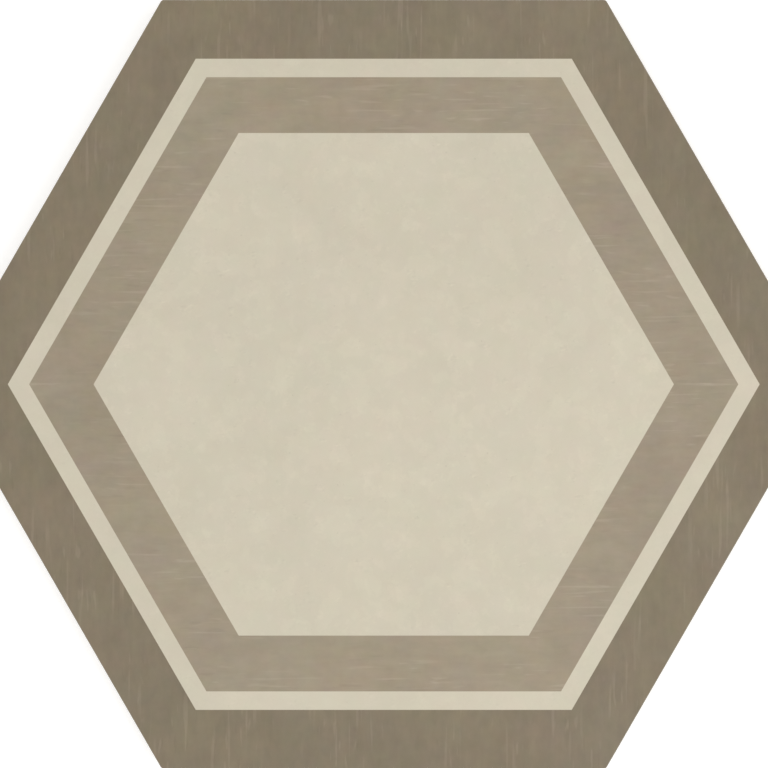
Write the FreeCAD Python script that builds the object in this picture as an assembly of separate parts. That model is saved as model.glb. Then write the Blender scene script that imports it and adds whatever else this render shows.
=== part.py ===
import FreeCAD, Part
import math
import os

# Hexagonal porcelain floor tile, pressed and fired as one piece.
# Millimetres, +Z up. The tile lies on its keyed back, printed face up. The origin is the middle of
# the back. Two flats face +Y and -Y, and two corners point along +X and -X.

# Outline and section
ACROSS_FLATS = 216.5
THICKNESS = 9.0
CORNER_RADIUS = 1.0
ARRIS_RADIUS = 0.6
LAND_HEIGHT = 5.5
COLLAR_STEP = 0.5
FOOT_DRAFT_DEGREES = 6.0
BACK_EDGE_CHAMFER = 0.5

# Bands printed on the top face, from the edge inwards
BORDER_WIDTH = 16.65
LINE_WIDTH = 5.2
BAND_WIDTH = 15.7

# Honeycomb key pressed into the back
POCKET_ACROSS_FLATS = 12.0
POCKET_DEPTH = 0.8
POCKET_DRAFT_DEGREES = 35.0
RIB_WIDTH = 1.6
MIN_RIM_WIDTH = 5.0

# Heights and half widths that follow from them
HALF_WIDTH = ACROSS_FLATS / 2
LAND_BOTTOM = THICKNESS - LAND_HEIGHT
FOOT_TOP = LAND_BOTTOM - COLLAR_STEP
FOOT_TOP_HALF_WIDTH = HALF_WIDTH - COLLAR_STEP
FOOT_LEAN = (FOOT_TOP - BACK_EDGE_CHAMFER) * math.tan(math.radians(FOOT_DRAFT_DEGREES))
FOOT_BOTTOM_HALF_WIDTH = FOOT_TOP_HALF_WIDTH - FOOT_LEAN
BACK_HALF_WIDTH = FOOT_BOTTOM_HALF_WIDTH - BACK_EDGE_CHAMFER

# A hexagon's half width over the reach of its corners
FLAT_TO_CORNER = math.cos(math.radians(30))


def corner_points(half_width, height, first_corner=0):
    """Corners of a regular hexagon, the first one at an angle in degrees from +X."""
    reach = half_width / FLAT_TO_CORNER
    angles = [math.radians(first_corner + 60 * side) for side in range(6)]
    return [FreeCAD.Vector(reach * math.cos(a), reach * math.sin(a), height) for a in angles]


def closed_face(points):
    """A flat face through the points."""
    return Part.Face(Part.makePolygon(points + points[:1]))


def rounded_hexagon(half_width, height):
    """The tile's outline: a regular hexagon with its six corners rounded."""
    arcs = []
    for corner, centre in enumerate(corner_points(half_width - CORNER_RADIUS, height)):
        angles = [math.radians(60 * corner + turn) for turn in (-30, 0, 30)]
        start, middle, end = [
            centre + FreeCAD.Vector(CORNER_RADIUS * math.cos(a), CORNER_RADIUS * math.sin(a), 0)
            for a in angles
        ]
        arcs.append(Part.Arc(start, middle, end).toShape())
    edges = []
    for arc, next_arc in zip(arcs, arcs[1:] + arcs[:1]):
        flat = Part.makeLine(arc.valueAt(arc.LastParameter), next_arc.valueAt(next_arc.FirstParameter))
        edges += [arc, flat]
    return Part.Wire(edges)


def make_land():
    """The upper part of the blank, with upright sides and an eased top edge."""
    up = FreeCAD.Vector(0, 0, LAND_HEIGHT)
    land = Part.Face(rounded_hexagon(HALF_WIDTH, LAND_BOTTOM)).extrude(up)
    top_edges = [edge for edge in land.Edges if edge.BoundBox.ZMin > THICKNESS - ARRIS_RADIUS]
    return land.makeFillet(ARRIS_RADIUS, top_edges)


def make_foot():
    """The lower part: a stepped collar, a drafted foot and an eased back edge."""
    outlines = [
        rounded_hexagon(HALF_WIDTH, LAND_BOTTOM),
        rounded_hexagon(FOOT_TOP_HALF_WIDTH, FOOT_TOP),
        rounded_hexagon(FOOT_BOTTOM_HALF_WIDTH, BACK_EDGE_CHAMFER),
        rounded_hexagon(BACK_HALF_WIDTH, 0),
    ]
    return Part.makeLoft(outlines, True, True)


def make_pocket():
    """One tapered pocket of the key, run on below the back so that it cuts cleanly."""
    taper = POCKET_DEPTH * math.tan(math.radians(POCKET_DRAFT_DEGREES))
    mouth = POCKET_ACROSS_FLATS / 2
    below = corner_points(mouth + taper, -POCKET_DEPTH, first_corner=30)
    floor = corner_points(mouth - taper, POCKET_DEPTH, first_corner=30)
    sides = [
        closed_face([below[side - 1], below[side], floor[side], floor[side - 1]])
        for side in range(6)
    ]
    return Part.makeSolid(Part.makeShell([closed_face(below), closed_face(floor)] + sides))


def pocket_centres():
    """Middles of the honeycomb's pockets, in as many rings as leave a plain rim on the back."""
    pitch = POCKET_ACROSS_FLATS + RIB_WIDTH
    row_step = pitch * FLAT_TO_CORNER
    pocket_reach = POCKET_ACROSS_FLATS / 2 / FLAT_TO_CORNER
    rings = int((BACK_HALF_WIDTH - MIN_RIM_WIDTH - pocket_reach) / row_step)
    centres = []
    for row in range(-rings, rings + 1):
        last = 2 * rings - abs(row)
        for place in range(last + 1):
            centres.append(FreeCAD.Vector((place - last / 2) * pitch, row * row_step, 0))
    return centres


def imprint_bands(blank):
    """Draw the print's edges on the top face: border, line and band round the plain field."""
    outlines = []
    half_width = HALF_WIDTH
    for width in (BORDER_WIDTH, LINE_WIDTH, BAND_WIDTH):
        half_width -= width
        outlines.append(closed_face(corner_points(half_width, THICKNESS)))
    split, _ = blank.generalFuse(outlines)
    return split.Solids[0]


def make_hexagon_tile():
    """The whole tile. The key's ribs and the rim stay level with the back."""
    blank = make_land().fuse(make_foot()).removeSplitter()
    pocket = make_pocket()
    key = Part.makeCompound([pocket.translated(centre) for centre in pocket_centres()])
    return imprint_bands(blank.cut(key))


os.makedirs("parts", exist_ok=True)
make_hexagon_tile().exportStep("parts/hexagon_tile.step")
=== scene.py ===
import math

import bmesh
import bpy
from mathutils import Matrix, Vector


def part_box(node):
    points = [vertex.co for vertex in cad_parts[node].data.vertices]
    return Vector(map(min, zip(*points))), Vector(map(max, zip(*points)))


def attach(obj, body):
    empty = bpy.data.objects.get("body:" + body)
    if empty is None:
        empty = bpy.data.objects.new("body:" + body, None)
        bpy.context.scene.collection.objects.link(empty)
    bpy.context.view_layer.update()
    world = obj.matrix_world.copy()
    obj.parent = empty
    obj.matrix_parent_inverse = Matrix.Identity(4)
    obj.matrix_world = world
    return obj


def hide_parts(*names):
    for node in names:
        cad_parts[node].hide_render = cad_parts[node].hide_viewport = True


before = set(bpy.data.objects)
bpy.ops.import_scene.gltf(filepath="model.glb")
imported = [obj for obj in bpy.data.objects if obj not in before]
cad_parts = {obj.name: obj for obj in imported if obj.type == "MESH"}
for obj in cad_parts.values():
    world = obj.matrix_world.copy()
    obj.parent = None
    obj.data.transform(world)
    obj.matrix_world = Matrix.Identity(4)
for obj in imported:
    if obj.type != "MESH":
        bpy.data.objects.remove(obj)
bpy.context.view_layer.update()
LOW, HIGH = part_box("hexagon_tile")

bl_info = {
    "name": "Hexagon Floor Tile",
    "version": (1, 0, 0),
    "blender": (4, 5, 0),
    "location": "View3D > Sidebar > Tile",
    "description": "Adds a printed hexagonal porcelain floor tile and a plain studio to show it in",
    "category": "Add Mesh",
}

# The object's name, and its material slots in order
TILE = "hexagon_floor_tile"
BORDER, LINE, BAND, FIELD, BISQUE = range(5)

# Metres in a millimetre
MM = 0.001

# How much a hexagon's outline turns at each corner
TURN = math.radians(60)

# A hexagon's half width over the reach of its corners
FLAT_TO_CORNER = math.cos(TURN / 2)

# Directions that the tile's six flats face
FLAT_ANGLES = [TURN * (side + 0.5) for side in range(6)]

# Points and heights nearer than this, in metres, count as the same
TINY = 1e-5

# Corners nearer than this, in metres, are made one where the tile's parts meet
WELD = TINY / 10

# A face lies level if at least this share of its normal points straight up or down
LEVEL = 0.99

# The key's edges that turn by more than this are eased
EASED_ABOVE = math.radians(20)

# Edges that turn by less than this are shaded smooth
SMOOTH_BELOW = math.radians(35)


def length(name, description, default):
    """A size that a user would change, in metres."""
    return bpy.props.FloatProperty(
        name=name, description=description, default=default, min=0, precision=5,
        subtype="DISTANCE", unit="LENGTH",
    )


def lean(name, description, degrees):
    """How far a wall leans from upright."""
    return bpy.props.FloatProperty(
        name=name, description=description, default=math.radians(degrees),
        subtype="ANGLE", unit="ROTATION",
    )


def strength(name, description):
    """How strongly a pattern shows, where 1 is the standard print."""
    return bpy.props.FloatProperty(
        name=name, description=description, default=1.0, min=0, soft_max=2, subtype="FACTOR",
    )


def tint(name, description, default):
    """A surface colour."""
    return bpy.props.FloatVectorProperty(
        name=name, description=description, default=default, min=0, max=1, size=3, subtype="COLOR",
    )


class TileSizes(bpy.types.PropertyGroup):
    """Sizes of the pressed tile and of its printed bands."""

    across_flats: length("Across Flats", "Width between two opposite flats", HIGH.y - LOW.y)
    thickness: length("Thickness", "From the back to the printed face", HIGH.z - LOW.z)
    corner_radius: length("Corner Radius", "Rounding of the six corners in plan", 1.0 * MM)
    arris_radius: length("Arris Radius", "Rounding of the printed face's edge", 0.6 * MM)
    land_height: length("Land Height", "Height of the upright upper side", 5.5 * MM)
    collar_step: length("Collar Step", "How far the foot steps in below the land", 0.5 * MM)
    foot_draft: lean("Foot Draft", "Lean of the foot's side", 6)
    back_edge_chamfer: length("Back Edge Chamfer", "Eased edge round the back", 0.5 * MM)
    side_easing: length("Side Easing", "Rounding of the collar's and foot's edges", 0.15 * MM)
    border_width: length("Border Width", "Dark printed border round the edge", 16.65 * MM)
    line_width: length("Line Width", "Pale printed line inside the border", 5.2 * MM)
    band_width: length("Band Width", "Printed band between the line and the centre", 15.7 * MM)
    pocket_across_flats: length("Pocket Across Flats", "Mouth of one pocket of the key", 12.0 * MM)
    pocket_depth: length("Pocket Depth", "Depth of the key in the back", 0.8 * MM)
    pocket_draft: lean("Pocket Draft", "Lean of a pocket's walls", 35)
    rib_width: length("Rib Width", "Rib between two pockets", 1.6 * MM)
    rib_easing: length("Rib Easing", "Rounding of the ribs' edges", 0.15 * MM)
    min_rim_width: length("Rim Width", "Least plain rim round the key", 5.0 * MM)


class TileColours(bpy.types.PropertyGroup):
    """Colours of the print and of the fired body."""

    border: tint("Border", "Ground of the outer border", (0.1928, 0.1544, 0.0969))
    band: tint("Band", "Ground of the inner band", (0.2989, 0.2461, 0.1699))
    cream: tint("Cream", "Ground of the line and the centre", (0.5635, 0.5128, 0.3977))
    bisque: tint("Bisque", "Unglazed body on the side and back", (0.43, 0.385, 0.315))
    mist: tint("Glaze Mist", "Thin glaze that settles on the upper side", (0.47, 0.42, 0.33))
    wash: tint("Kiln Wash", "Pale wash on the ribs of the back", (0.72, 0.69, 0.63))
    streaks: strength("Streaks", "How much the brushed streaks stand out")
    clouds: strength("Clouds", "How much the soft clouds stand out")
    # This strength sets the plaster's flecks and patches, and also the painted highlight and shade of
    # its nicked spots
    flecks_and_nick_shade: strength("Flecks", "How much the plaster's flecks and patches stand out")


class StudioSettings(bpy.types.PropertyGroup):
    """Floor, light and camera of the studio."""

    floor_size: length("Floor Size", "Side of the square floor", 60.0)
    floor_colour: tint("Floor", "Colour of the floor", (0.90, 0.90, 0.90))
    floor_lift: bpy.props.FloatProperty(
        name="Floor Lift", description="Light that the floor gives off by itself",
        default=0.25, min=0, max=1, subtype="FACTOR",
    )
    sky_strength: bpy.props.FloatProperty(
        name="Surround", description="Strength of the even light from all round", default=1.0, min=0,
    )
    lamp_power: bpy.props.FloatProperty(
        name="Overhead Lamp", description="Power of the soft lamp overhead",
        default=0.45, min=0, unit="POWER",
    )
    lamp_size: length("Lamp Size", "Width of the soft lamp overhead", 0.3)
    lamp_place: bpy.props.FloatVectorProperty(
        name="Lamp Place", description="Where the lamp hangs, aimed at the tile's middle",
        default=(0.22, -0.26, 0.55), size=3, subtype="TRANSLATION", unit="LENGTH",
    )
    lens: bpy.props.FloatProperty(
        name="Lens", description="Focal length of the camera", default=150.0, min=1, unit="CAMERA",
    )


def only_select(thing):
    """Make one object the only one that operators act on."""
    bpy.ops.object.select_all(action="DESELECT")
    thing.select_set(True)
    bpy.context.view_layer.objects.active = thing


def name_piece(name):
    """Name the active object, such as a primitive that was just added, and its mesh."""
    piece = bpy.context.object
    piece.name = name
    piece.data.name = name
    return piece


def pick(kind, wanted):
    """In edit mode, select only the faces or edges that pass the test."""
    bpy.ops.mesh.select_mode(type=kind)
    bpy.ops.mesh.select_all(action="DESELECT")
    mesh = bmesh.from_edit_mesh(bpy.context.object.data)
    for part in (mesh.faces if kind == "FACE" else mesh.edges):
        if wanted(part):
            part.select_set(True)
    mesh.select_flush_mode()
    bmesh.update_edit_mesh(bpy.context.object.data)


def level_edges(height):
    """A test for edges that lie at one height."""
    return lambda edge: all(abs(corner.co.z - height) < TINY for corner in edge.verts)


def open_edges(height):
    """A test for edges with a face on one side only, at one height."""
    return lambda edge: edge.is_boundary and level_edges(height)(edge)


def level_faces(way, height):
    """A test for faces that look up, where way is 1, or down, where it is -1, at one height."""
    def test(face):
        return face.normal.z * way > LEVEL and abs(face.calc_center_median().z - height) < TINY
    return test


def push_down(drop, scale):
    """Extrude the selected face downwards and draw it in."""
    bpy.ops.mesh.extrude_region_move(TRANSFORM_OT_translate={"value": (0, 0, -drop)})
    bpy.ops.transform.resize(value=(scale, scale, 1), center_override=(0, 0, 0))


def make_shell(sizes):
    """The tile's side: land, collar, foot and eased edges, open at its top and back."""
    half_width = sizes.across_flats / 2
    land_bottom = sizes.thickness - sizes.land_height
    foot_top = land_bottom - sizes.collar_step
    bpy.ops.mesh.primitive_cylinder_add(
        vertices=6, radius=half_width / FLAT_TO_CORNER, depth=sizes.land_height, end_fill_type="NGON",
        location=(0, 0, land_bottom + sizes.land_height / 2), rotation=(0, 0, TURN / 2),
    )
    shell = name_piece("tile_side")
    bpy.ops.object.transform_apply(location=True, rotation=True, scale=True)

    bpy.ops.object.mode_set(mode="EDIT")
    pick("EDGE", lambda edge: abs(edge.verts[0].co.z - edge.verts[1].co.z) > TINY)
    bpy.ops.mesh.bevel(
        offset=sizes.corner_radius * math.tan(TURN / 2), segments=6, profile=0.5, affect="EDGES",
    )
    pick("FACE", level_faces(-1, land_bottom))
    foot_width = half_width - sizes.collar_step
    push_down(sizes.collar_step, foot_width / half_width)
    foot_height = foot_top - sizes.back_edge_chamfer
    foot_bottom_width = foot_width - foot_height * math.tan(sizes.foot_draft)
    push_down(foot_height, foot_bottom_width / foot_width)
    push_down(sizes.back_edge_chamfer, 1 - sizes.back_edge_chamfer / foot_bottom_width)

    for height in (land_bottom, foot_top, sizes.back_edge_chamfer):
        pick("EDGE", level_edges(height))
        bpy.ops.mesh.bevel(offset=sizes.side_easing, segments=2, profile=0.5, affect="EDGES")
    pick("EDGE", level_edges(sizes.thickness))
    bpy.ops.mesh.bevel(offset=sizes.arris_radius, segments=5, profile=0.5, affect="EDGES")

    is_top = level_faces(1, sizes.thickness)
    is_back = level_faces(-1, 0)
    pick("FACE", lambda face: is_top(face) or is_back(face))
    bpy.ops.mesh.delete(type="ONLY_FACE")
    bpy.ops.object.mode_set(mode="OBJECT")
    return shell


def make_print(sizes):
    """The printed middle of the top face: line, band and field, each edged by its own hexagon."""
    half_width = sizes.across_flats / 2 - sizes.border_width
    bpy.ops.object.select_all(action="DESELECT")
    bpy.ops.mesh.primitive_circle_add(
        vertices=6, radius=half_width / FLAT_TO_CORNER, fill_type="NGON",
        location=(0, 0, sizes.thickness), rotation=(0, 0, TURN / 2),
    )
    middle = name_piece("tile_print")
    bpy.ops.object.transform_apply(location=True, rotation=True, scale=True)
    bpy.ops.object.mode_set(mode="EDIT")
    bpy.ops.mesh.select_all(action="SELECT")
    for width in (sizes.line_width, sizes.band_width):
        bpy.ops.mesh.inset(thickness=width, depth=0)
    bpy.ops.object.mode_set(mode="OBJECT")
    return middle


def back_half_width(sizes):
    """Half the width of the flat back, inside its eased edge."""
    foot_height = sizes.thickness - sizes.land_height - sizes.collar_step - sizes.back_edge_chamfer
    foot_lean = foot_height * math.tan(sizes.foot_draft)
    return sizes.across_flats / 2 - sizes.collar_step - foot_lean - sizes.back_edge_chamfer


def make_key(sizes):
    """The honeycomb key: rows of hexagonal cells, each sunk inside its ribs."""
    pitch = sizes.pocket_across_flats + sizes.rib_width
    row_step = pitch * FLAT_TO_CORNER
    pocket_reach = sizes.pocket_across_flats / 2 / FLAT_TO_CORNER
    rings = int((back_half_width(sizes) - sizes.min_rim_width - pocket_reach) / row_step)
    rows = []
    for row in range(-rings, rings + 1):
        cells = 2 * rings + 1 - abs(row)
        bpy.ops.object.select_all(action="DESELECT")
        bpy.ops.mesh.primitive_circle_add(
            vertices=6, radius=pitch / 2 / FLAT_TO_CORNER, fill_type="NGON",
            location=(-(cells - 1) / 2 * pitch, row * row_step, 0),
        )
        strip = name_piece("key_row")
        bpy.ops.object.transform_apply(location=True, rotation=True, scale=True)
        array = strip.modifiers.new("Cells", "ARRAY")
        array.count = cells
        array.use_relative_offset = False
        array.use_constant_offset = True
        array.constant_offset_displace = (pitch, 0, 0)
        bpy.ops.object.modifier_apply(modifier=array.name)
        rows.append(strip)
    for strip in rows:
        strip.select_set(True)
    bpy.ops.object.join()
    key = name_piece("tile_key")

    bpy.ops.object.mode_set(mode="EDIT")
    bpy.ops.mesh.select_all(action="SELECT")
    bpy.ops.mesh.remove_doubles(threshold=TINY)
    bpy.ops.mesh.flip_normals()
    bpy.ops.mesh.inset(use_individual=True, thickness=sizes.rib_width / 2, depth=0)
    taper = sizes.pocket_depth * math.tan(sizes.pocket_draft)
    bpy.ops.mesh.inset(use_individual=True, thickness=taper, depth=-sizes.pocket_depth)
    pick("EDGE", lambda edge: not edge.is_boundary and edge.calc_face_angle(0) > EASED_ABOVE)
    bpy.ops.mesh.bevel(offset=sizes.rib_easing, segments=1, affect="EDGES")
    bpy.ops.object.mode_set(mode="OBJECT")
    return key


def close_up(sizes):
    """Fill the border round the print and the rim round the key, which closes the mesh."""
    bpy.ops.object.mode_set(mode="EDIT")
    for height in (sizes.thickness, 0):
        pick("EDGE", open_edges(height))
        bpy.ops.mesh.fill(use_beauty=True)
    bpy.ops.mesh.select_all(action="SELECT")
    bpy.ops.mesh.remove_doubles(threshold=WELD)
    bpy.ops.mesh.normals_make_consistent(inside=False)
    bpy.ops.object.mode_set(mode="OBJECT")


def across(point):
    """Distance of a point from the tile's middle, measured square to the nearest flat."""
    return max(point.x * math.cos(angle) + point.y * math.sin(angle) for angle in FLAT_ANGLES)


def paint_zones(tile, sizes):
    """Give each printed zone, and the bare side and back, its own material slot."""
    border_inside = sizes.across_flats / 2 - sizes.border_width
    line_inside = border_inside - sizes.line_width
    band_inside = line_inside - sizes.band_width
    arris_bottom = sizes.thickness - sizes.arris_radius
    for face in tile.data.polygons:
        middle = across(face.center)
        if face.center.z < arris_bottom:
            face.material_index = BISQUE
        elif middle > border_inside:
            face.material_index = BORDER
        elif middle > line_inside:
            face.material_index = LINE
        elif middle > band_inside:
            face.material_index = BAND
        else:
            face.material_index = FIELD


# On the map for baked pictures, a face is on the print's island if this share of its normal points up
FROM_ABOVE = 0.7

# The map's name, the gap round its islands, and how much of its width each island takes
BAKE_MAP = "OFBake"
MAP_GAP = 0.004
PRINT_SHARE = 0.79
BACK_SHARE = 0.455
SIDE_SHARE = 0.50


def lay_out_map(tile, sizes):
    """The map for baked pictures: the print, the back beside it, and the sides in six strips."""
    corner_to_corner = sizes.across_flats / FLAT_TO_CORNER
    side_length = corner_to_corner / 2
    back_inside = back_half_width(sizes)
    gap = Vector((MAP_GAP, MAP_GAP))
    hexagon = Vector((1, FLAT_TO_CORNER))
    print_middle = gap + hexagon * PRINT_SHARE / 2
    print_scale = PRINT_SHARE / corner_to_corner
    back_middle = Vector((1, 1)) - gap - hexagon * BACK_SHARE / 2
    back_scale = Vector((-1, 1)) * BACK_SHARE / corner_to_corner
    strip_scale = SIDE_SHARE / side_length
    strip_step = sizes.thickness * strip_scale + 2 * MAP_GAP
    strips_bottom = hexagon.y * PRINT_SHARE + 3 * MAP_GAP
    flats = [Vector((math.cos(angle), math.sin(angle))) for angle in FLAT_ANGLES]
    layout = tile.data.uv_layers.new(name=BAKE_MAP)

    for face in tile.data.polygons:
        corners = [tile.data.vertices[index].co for index in face.vertices]
        if face.normal.z > FROM_ABOVE:
            spots = [print_middle + corner.xy * print_scale for corner in corners]
        elif across(face.center) < back_inside:
            spots = [back_middle + corner.xy * back_scale for corner in corners]
        else:
            side = max(range(6), key=lambda number: face.normal.xy.dot(flats[number]))
            along = flats[side].orthogonal()
            middle = Vector((MAP_GAP + SIDE_SHARE / 2, strips_bottom + side * strip_step))
            reaches = [Vector((corner.xy.dot(along), corner.z)) for corner in corners]
            spots = [middle + reach * strip_scale for reach in reaches]
        for loop, spot in zip(face.loop_indices, spots):
            layout.data[loop].uv = spot


# How far apart two seeds lie in the noise, in grains
SEED_STEP = (17.3, -9.1, 5.7)


class Maker:
    """Adds nodes to one material's tree and links them. Its patterns are sized in millimetres."""

    def __init__(self, name):
        self.material = bpy.data.materials.new(name)
        self.material.use_nodes = True
        self.tree = self.material.node_tree
        self.tree.nodes.clear()
        metres = self.add("ShaderNodeTexCoord").outputs["Object"]
        mapping = self.add("ShaderNodeMapping", Vector=metres, Scale=[1 / MM] * 3)
        self.place = mapping.outputs["Vector"]

    def add(self, kind, settings=None, **sockets):
        """A node of a kind, its settings, and its sockets set to values or linked to other sockets."""
        node = self.tree.nodes.new(kind)
        for name, value in (settings or {}).items():
            setattr(node, name, value)
        for name, value in sockets.items():
            self.feed(node.inputs[name.replace("_", " ")], value)
        return node

    def feed(self, socket, value):
        """Set a socket, or link another to it."""
        if isinstance(value, bpy.types.NodeSocket):
            self.tree.links.new(value, socket)
        else:
            socket.default_value = value

    def maths(self, operation, *values):
        """The result of a Math node."""
        node = self.add("ShaderNodeMath", {"operation": operation})
        for socket, value in zip(node.inputs, values):
            self.feed(socket, value)
        return node.outputs["Value"]

    def noise(self, grain, seed, detail=0.0, roughness=0.5, slide=(0, 0, 0)):
        """Noise from 0 to 1. Grain is the size of its spots in mm along X, Y and, if it has depth, Z.

        The seed picks a place in the noise, and slide moves it from there by a part of a grain."""
        stretch = self.add(
            "ShaderNodeMapping", Vector=self.place,
            Location=[seed * step + extra for step, extra in zip(SEED_STEP, slide)],
            Scale=[1 / size for size in grain] + [0] * (3 - len(grain)),
        )
        node = self.add(
            "ShaderNodeTexNoise", Vector=stretch.outputs["Vector"],
            Scale=1, Detail=detail, Roughness=roughness,
        )
        return node.outputs["Fac"]

    def ramp(self, value, start, end):
        """Zero up to the start, one from the end on, smooth between. The end may be lower."""
        node = self.add(
            "ShaderNodeMapRange", {"interpolation_type": "SMOOTHSTEP"},
            Value=value, From_Min=start, From_Max=end,
        )
        return node.outputs["Result"]

    def swing(self, value, amount):
        """A noise value as a swing about nought, up to an amount either way."""
        return self.maths("MULTIPLY", self.maths("SUBTRACT", value, 0.5), 2 * amount)

    def times(self, *values):
        """The product of several values."""
        result = values[0]
        for value in values[1:]:
            result = self.maths("MULTIPLY", result, value)
        return result

    def total(self, *values):
        """The sum of several values."""
        result = values[0]
        for value in values[1:]:
            result = self.maths("ADD", result, value)
        return result

    def shade(self, colour, gain, pink=0.0, straw=0.0):
        """A colour made lighter by a gain and turned towards pink or straw, each by a small share."""
        level = self.maths("ADD", gain, 1)
        turn = self.add(
            "ShaderNodeCombineXYZ", X=self.maths("ADD", level, pink),
            Y=self.maths("SUBTRACT", level, pink), Z=self.maths("SUBTRACT", level, straw),
        )
        node = self.add("ShaderNodeVectorMath", {"operation": "MULTIPLY"})
        self.feed(node.inputs[0], turn.outputs["Vector"])
        self.feed(node.inputs[1], colour)
        return node.outputs["Vector"]

    def blend(self, share_of_second, first, second):
        """Two colours mixed."""
        node = self.add("ShaderNodeMix", {"data_type": "RGBA"})
        sockets = {socket.identifier: socket for socket in node.inputs}
        self.feed(sockets["Factor_Float"], share_of_second)
        self.feed(sockets["A_Color"], first)
        self.feed(sockets["B_Color"], second)
        return next(socket for socket in node.outputs if socket.identifier == "Result_Color")

    def finish(self, colour, roughness, height, depth):
        """The surface shader with its colour, its roughness and fine relief of a depth in metres."""
        bump = self.add("ShaderNodeBump", Height=height, Strength=1, Distance=depth)
        shader = self.add(
            "ShaderNodeBsdfPrincipled", Normal=bump.outputs["Normal"],
            Base_Color=colour, Roughness=roughness,
        )
        self.add("ShaderNodeOutputMaterial", Surface=shader.outputs["BSDF"])
        return self.material


def solid(colour):
    """A colour with its alpha."""
    return (*colour, 1)


# Roughness of the finishes, and depth of their fine relief
BRUSHED_ROUGHNESS = 0.5
PLASTER_ROUGHNESS = 0.48
BODY_ROUGHNESS = 0.8
PRINT_RELIEF = 0.012 * MM
BODY_RELIEF = 0.03 * MM


def brushed_print(name, ground, colours, along, contrast, drift, softness, cloud_seed, seed):
    """Taupe print that looks brushed: sparse fine streaks over soft blots of rose, straw and olive.

    Along is the direction of the streaks, X or Y, and contrast is how much lighter they are. Drift is
    how strongly the widest clouds show, and softness is how strongly the blots do. Each layer adds its
    own number to the seed, so that no two share a pattern."""
    make = Maker(name)

    def brushed(width, reach, layer_seed, detail=0.0, roughness=0.5):
        grain = (reach, width) if along == "X" else (width, reach)
        return make.noise(grain, layer_seed, detail, roughness)

    streaks, clouds = colours.streaks, colours.clouds
    blots = clouds * softness
    soft = make.total(
        make.swing(make.noise((55, 55), cloud_seed, detail=2), drift * clouds),
        make.swing(brushed(16, 24, seed + 11, detail=2), 0.070 * blots),
        make.swing(brushed(8, 14, seed + 12, detail=2), 0.070 * blots),
        make.swing(brushed(3.4, 6.5, seed, detail=3, roughness=0.6), 0.068 * blots),
        make.swing(brushed(1.8, 3.2, seed + 1, detail=1), 0.046 * blots),
    )
    threads = make.total(
        make.swing(brushed(2.1, 10, seed + 2, detail=1), 0.030 * streaks),
        make.swing(brushed(1.1, 8, seed + 3), 0.016 * streaks),
        make.swing(brushed(6, 1.8, seed + 4, detail=1), 0.026 * streaks),
    )
    clusters = make.ramp(brushed(12, 24, seed + 13, detail=1), 0.40, 0.60)
    long_light = make.ramp(brushed(1.0, 16, seed + 5), 0.64, 0.78)
    short_light = make.ramp(brushed(1.05, 6, seed + 6), 0.69, 0.82)
    dark = make.ramp(brushed(1.0, 6, seed + 7), 0.68, 0.82)
    light = make.times(make.total(long_light, short_light), clusters)
    gain = make.total(
        soft, threads, make.times(light, contrast * streaks),
        make.times(dark, clusters, -0.55 * contrast * streaks),
    )
    rose = make.total(
        make.swing(make.noise((20, 20), seed + 14, detail=4, roughness=0.7), 0.050 * clouds),
        make.swing(brushed(3.5, 5, seed + 8, detail=1), 0.024 * clouds),
    )
    straw = make.total(
        make.swing(make.noise((20, 20), seed + 15, detail=4, roughness=0.7), 0.110 * clouds),
        make.swing(brushed(3.5, 5, seed + 9, detail=1), 0.050 * clouds),
        make.times(light, -0.3 * contrast * streaks),
    )
    colour = make.shade(ground, gain, rose, straw)
    grain = make.noise((0.5, 0.5), seed + 10)
    roughness = make.total(make.swing(grain, 0.06), make.times(light, -0.08), BRUSHED_ROUGHNESS)
    return make.finish(colour, roughness, make.total(make.times(grain, 0.4), light), PRINT_RELIEF)


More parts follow.
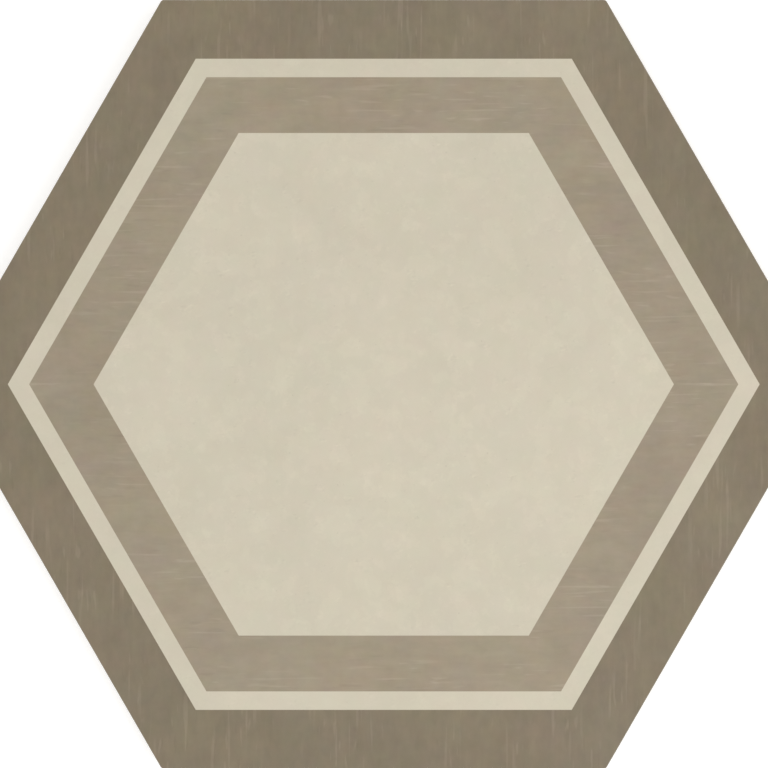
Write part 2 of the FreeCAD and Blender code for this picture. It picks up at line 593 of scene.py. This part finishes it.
def plaster_print(name, colours, wear_and_nick_shade, cloud_seed, seed):
    """Cream print like fine plaster: clouds, paler patches with frayed edges, pits, and sparse nicked
    spots.

    The third argument sets how strongly its patches, pits and nicked spots show, from 0 to 1; each
    nicked spot is a slight bump with a painted highlight beside a painted shade."""
    make = Maker(name)
    clouds, flecks_and_nick_shade = colours.clouds, colours.flecks_and_nick_shade * wear_and_nick_shade
    soft = make.total(
        make.swing(make.noise((60, 60), cloud_seed, detail=2), 0.055 * clouds),
        make.swing(make.noise((24, 24), seed + 9, detail=6, roughness=0.68), 0.078 * clouds),
        make.swing(make.noise((5, 5), seed, detail=5, roughness=0.74), 0.042 * clouds),
    )
    patches = make.ramp(make.noise((10, 10), seed + 1, detail=6, roughness=0.62), 0.53, 0.555)
    chips = make.ramp(make.noise((4.2, 4.2), seed + 2, detail=4, roughness=0.62), 0.58, 0.605)
    # Where the nicked spots lie: each gets a slight bump and a painted highlight and shade
    scuff_and_shade_mask = make.ramp(make.noise((3.0, 3.0), seed + 3, detail=1), 0.62, 0.74)
    # Two copies of one noise slid apart along the diagonal: the lit copy minus the shaded one paints a
    # highlight on one side of each nicked spot and a shade on the other
    lit, shaded = (
        make.noise((1.9, 1.1), seed + 12, detail=1, slide=(shift, -shift, 0))
        for shift in (0.13, -0.13)
    )
    nick_highlight_and_shade = make.times(make.maths("SUBTRACT", lit, shaded), scuff_and_shade_mask)
    pits = make.ramp(make.noise((0.9, 0.9), seed + 4), 0.82, 0.87)
    grit = make.ramp(make.noise((0.8, 0.8), seed + 8), 0.83, 0.88)
    # The tone: print patterns, plus the painted highlight and shade of the nicked spots
    gain = make.total(
        soft, make.times(patches, 0.024 * flecks_and_nick_shade), make.times(chips, 0.024 * flecks_and_nick_shade),
        make.times(nick_highlight_and_shade, 0.26 * flecks_and_nick_shade), make.times(pits, -0.08 * flecks_and_nick_shade),
        make.times(grit, 0.06 * flecks_and_nick_shade),
    )
    rose = make.total(
        make.swing(make.noise((24, 24), seed + 10, detail=4, roughness=0.65), 0.014 * clouds),
        make.swing(make.noise((5, 5), seed + 6, detail=2), 0.018 * clouds),
    )
    straw = make.total(
        make.swing(make.noise((24, 24), seed + 11, detail=4, roughness=0.65), 0.025 * clouds),
        make.swing(make.noise((5, 5), seed + 7, detail=2), 0.018 * clouds),
    )
    colour = make.shade(colours.cream, gain, rose, straw)
    grain = make.noise((0.5, 0.5), seed + 5)
    roughness = make.total(
        make.swing(grain, 0.06), make.times(patches, 0.03 * flecks_and_nick_shade), PLASTER_ROUGHNESS,
    )
    relief = make.total(
        make.times(grain, 0.4), make.times(lit, scuff_and_shade_mask, flecks_and_nick_shade), make.times(pits, -flecks_and_nick_shade),
    )
    return make.finish(colour, roughness, relief, PRINT_RELIEF)


# Where each finish of the body begins and where it is full, in mm: below the printed face for the
# glaze mist and the print's drip, and above the back for the kiln wash
MIST_SPAN = (3.0, 0.9)
DRIP_SPAN = (0.85, 0.72)
WASH_SPAN = (0.25, 0.02)


def bisque_body(colours, sizes, seed):
    """Bare fired body, with the print's drip below the arris, a glaze mist and a wash on the ribs."""
    make = Maker("bisque_body")
    grain = make.noise((0.45, 0.45, 0.45), seed, detail=2)
    drag = make.noise((0.7, 0.7, 7), seed + 1, detail=1)
    patches = make.noise((14, 14, 14), seed + 2, detail=4, roughness=0.6)
    specks = make.ramp(make.noise((0.7, 0.7, 0.7), seed + 3), 0.77, 0.84)
    gain = make.total(
        make.swing(grain, 0.06), make.swing(drag, 0.04), make.swing(patches, 0.07),
        make.times(specks, -0.22),
    )
    body = make.shade(colours.bisque, gain, straw=make.swing(patches, 0.04))
    height = make.add("ShaderNodeSeparateXYZ", Vector=make.place).outputs["Z"]
    fray = make.swing(make.noise((1.6, 1.6, 0.8), seed + 4, detail=3), 0.35)
    ragged = make.maths("ADD", height, fray)
    top = sizes.thickness / MM
    mist = make.ramp(ragged, *(top - below for below in MIST_SPAN))
    drip = make.ramp(ragged, *(top - below for below in DRIP_SPAN))
    wash = make.times(make.ramp(height, *WASH_SPAN), make.ramp(patches, 0.35, 0.55))
    misted = make.blend(mist, body, solid(colours.mist))
    printed = make.blend(drip, misted, solid(colours.border))
    colour = make.blend(wash, printed, solid(colours.wash))
    return make.finish(colour, BODY_ROUGHNESS, make.total(grain, drag), BODY_RELIEF)


def add_materials(tile, colours, sizes):
    """Make the tile's materials and put each into its slot."""
    materials = {
        BORDER: brushed_print(
            "border_print", colours.border, colours, along="Y",
            contrast=0.135, drift=0.065, softness=1.5, cloud_seed=656, seed=230,
        ),
        LINE: plaster_print("line_print", colours, wear_and_nick_shade=0.6, cloud_seed=631, seed=586),
        BAND: brushed_print(
            "band_print", colours.band, colours, along="X",
            contrast=0.11, drift=0.12, softness=1.2, cloud_seed=543, seed=891,
        ),
        FIELD: plaster_print("field_print", colours, wear_and_nick_shade=1.0, cloud_seed=681, seed=496),
        BISQUE: bisque_body(colours, sizes, seed=41),
    }
    for slot in sorted(materials):
        tile.data.materials.append(materials[slot])


class TILE_OT_add_tile(bpy.types.Operator):
    """Add the printed hexagonal floor tile in place of its plain solid"""

    bl_idname = "tile.add_tile"
    bl_label = "Add Hexagon Floor Tile"
    bl_options = {"REGISTER", "UNDO"}

    def execute(self, context):
        sizes = context.scene.tile_sizes
        bpy.ops.object.select_all(action="DESELECT")
        parts = [make_shell(sizes), make_print(sizes), make_key(sizes)]
        only_select(parts[0])
        for part in parts:
            part.select_set(True)
        bpy.ops.object.join()
        tile = name_piece(TILE)
        close_up(sizes)
        add_materials(tile, context.scene.tile_colours, sizes)
        paint_zones(tile, sizes)
        only_select(tile)
        bpy.ops.object.shade_smooth_by_angle(angle=SMOOTH_BELOW)
        weighted = tile.modifiers.new("Flat Faces", "WEIGHTED_NORMAL")
        weighted.keep_sharp = True
        bpy.ops.object.modifier_apply(modifier=weighted.name)
        lay_out_map(tile, sizes)
        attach(tile, "root")
        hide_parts("hexagon_tile")
        return {"FINISHED"}


class TILE_OT_add_studio(bpy.types.Operator):
    """Add the pale floor, the soft light and the camera that looks straight down"""

    bl_idname = "tile.add_studio"
    bl_label = "Add Studio"
    bl_options = {"REGISTER", "UNDO"}

    def execute(self, context):
        studio = context.scene.tile_studio
        add_floor(studio)
        add_light(context.scene, studio)
        add_camera(context.scene, studio)
        return {"FINISHED"}


def add_floor(studio):
    """A plain pale floor that the tile lies on."""
    bpy.ops.object.select_all(action="DESELECT")
    bpy.ops.mesh.primitive_plane_add(size=studio.floor_size, location=(0, 0, 0))
    floor = name_piece("studio_floor")
    material = bpy.data.materials.new("studio_floor")
    material.use_nodes = True
    shader = material.node_tree.nodes["Principled BSDF"]
    shader.inputs["Base Color"].default_value = solid(studio.floor_colour)
    shader.inputs["Roughness"].default_value = 0.9
    shader.inputs["Specular IOR Level"].default_value = 0.0
    shader.inputs["Emission Color"].default_value = (1, 1, 1, 1)
    shader.inputs["Emission Strength"].default_value = studio.floor_lift
    floor.data.materials.append(material)


def add_light(scene, studio):
    """Even light from all round, and one large soft lamp overhead, a little to the lower right."""
    world = bpy.data.worlds.new("studio_light")
    world.use_nodes = True
    background = world.node_tree.nodes["Background"]
    background.inputs["Color"].default_value = (1, 1, 1, 1)
    background.inputs["Strength"].default_value = studio.sky_strength
    scene.world = world
    bpy.ops.object.light_add(type="AREA", location=studio.lamp_place)
    lamp = bpy.context.object
    lamp.name = "overhead_lamp"
    lamp.data.shape = "DISK"
    lamp.data.size = studio.lamp_size
    lamp.data.energy = studio.lamp_power
    lamp.rotation_euler = (-Vector(lamp.location)).to_track_quat("-Z", "Y").to_euler()


# The photograph's side, the tile's width in it, and the tile's middle from its upper left corner
PICTURE_PIXELS = 768
PHOTO_FLAT_TO_FLAT_PIXELS = 769.5
PHOTO_CENTRE_PIXELS = (383.75, 384.3)

# Width of the camera's sensor in mm
SENSOR_WIDTH = 36.0


def add_camera(scene, studio):
    """A long lens that looks straight down and frames the tile as the photograph does."""
    sizes = scene.tile_sizes
    pixel = sizes.across_flats / PHOTO_FLAT_TO_FLAT_PIXELS
    frame_middle = PICTURE_PIXELS / 2
    aside = (frame_middle - PHOTO_CENTRE_PIXELS[0]) * pixel
    up = (PHOTO_CENTRE_PIXELS[1] - frame_middle) * pixel
    distance = PICTURE_PIXELS * pixel * studio.lens / SENSOR_WIDTH
    bpy.ops.object.camera_add(location=(aside, up, sizes.thickness + distance), rotation=(0, 0, 0))
    camera = bpy.context.object
    camera.name = "camera"
    camera.data.lens = studio.lens
    camera.data.sensor_width = SENSOR_WIDTH
    camera.data.clip_end = 2 * studio.floor_size
    scene.camera = camera
    scene.view_settings.view_transform = "Standard"


class TILE_PT_panel(bpy.types.Panel):
    """Sizes and colours of the tile, and the steps that build it"""

    bl_idname = "TILE_PT_panel"
    bl_label = "Hexagon Floor Tile"
    bl_space_type = "VIEW_3D"
    bl_region_type = "UI"
    bl_category = "Tile"

    def draw(self, context):
        for group in (context.scene.tile_sizes, context.scene.tile_colours):
            for name in group.__annotations__:
                self.layout.prop(group, name)
        self.layout.operator(TILE_OT_add_tile.bl_idname)
        for name in context.scene.tile_studio.__annotations__:
            self.layout.prop(context.scene.tile_studio, name)
        self.layout.operator(TILE_OT_add_studio.bl_idname)


CLASSES = (
    TileSizes, TileColours, StudioSettings, TILE_OT_add_tile, TILE_OT_add_studio, TILE_PT_panel,
)


def register():
    """Register the classes, and give each scene the settings."""
    for kind in CLASSES:
        bpy.utils.register_class(kind)
    bpy.types.Scene.tile_sizes = bpy.props.PointerProperty(type=TileSizes)
    bpy.types.Scene.tile_colours = bpy.props.PointerProperty(type=TileColours)
    bpy.types.Scene.tile_studio = bpy.props.PointerProperty(type=StudioSettings)


def unregister():
    """Take the settings and the classes away again."""
    del bpy.types.Scene.tile_studio
    del bpy.types.Scene.tile_colours
    del bpy.types.Scene.tile_sizes
    for kind in reversed(CLASSES):
        bpy.utils.unregister_class(kind)


def main():
    """Build the tile and its studio."""
    register()
    bpy.ops.tile.add_tile()
    bpy.ops.tile.add_studio()


if __name__ == "__main__":
    main()
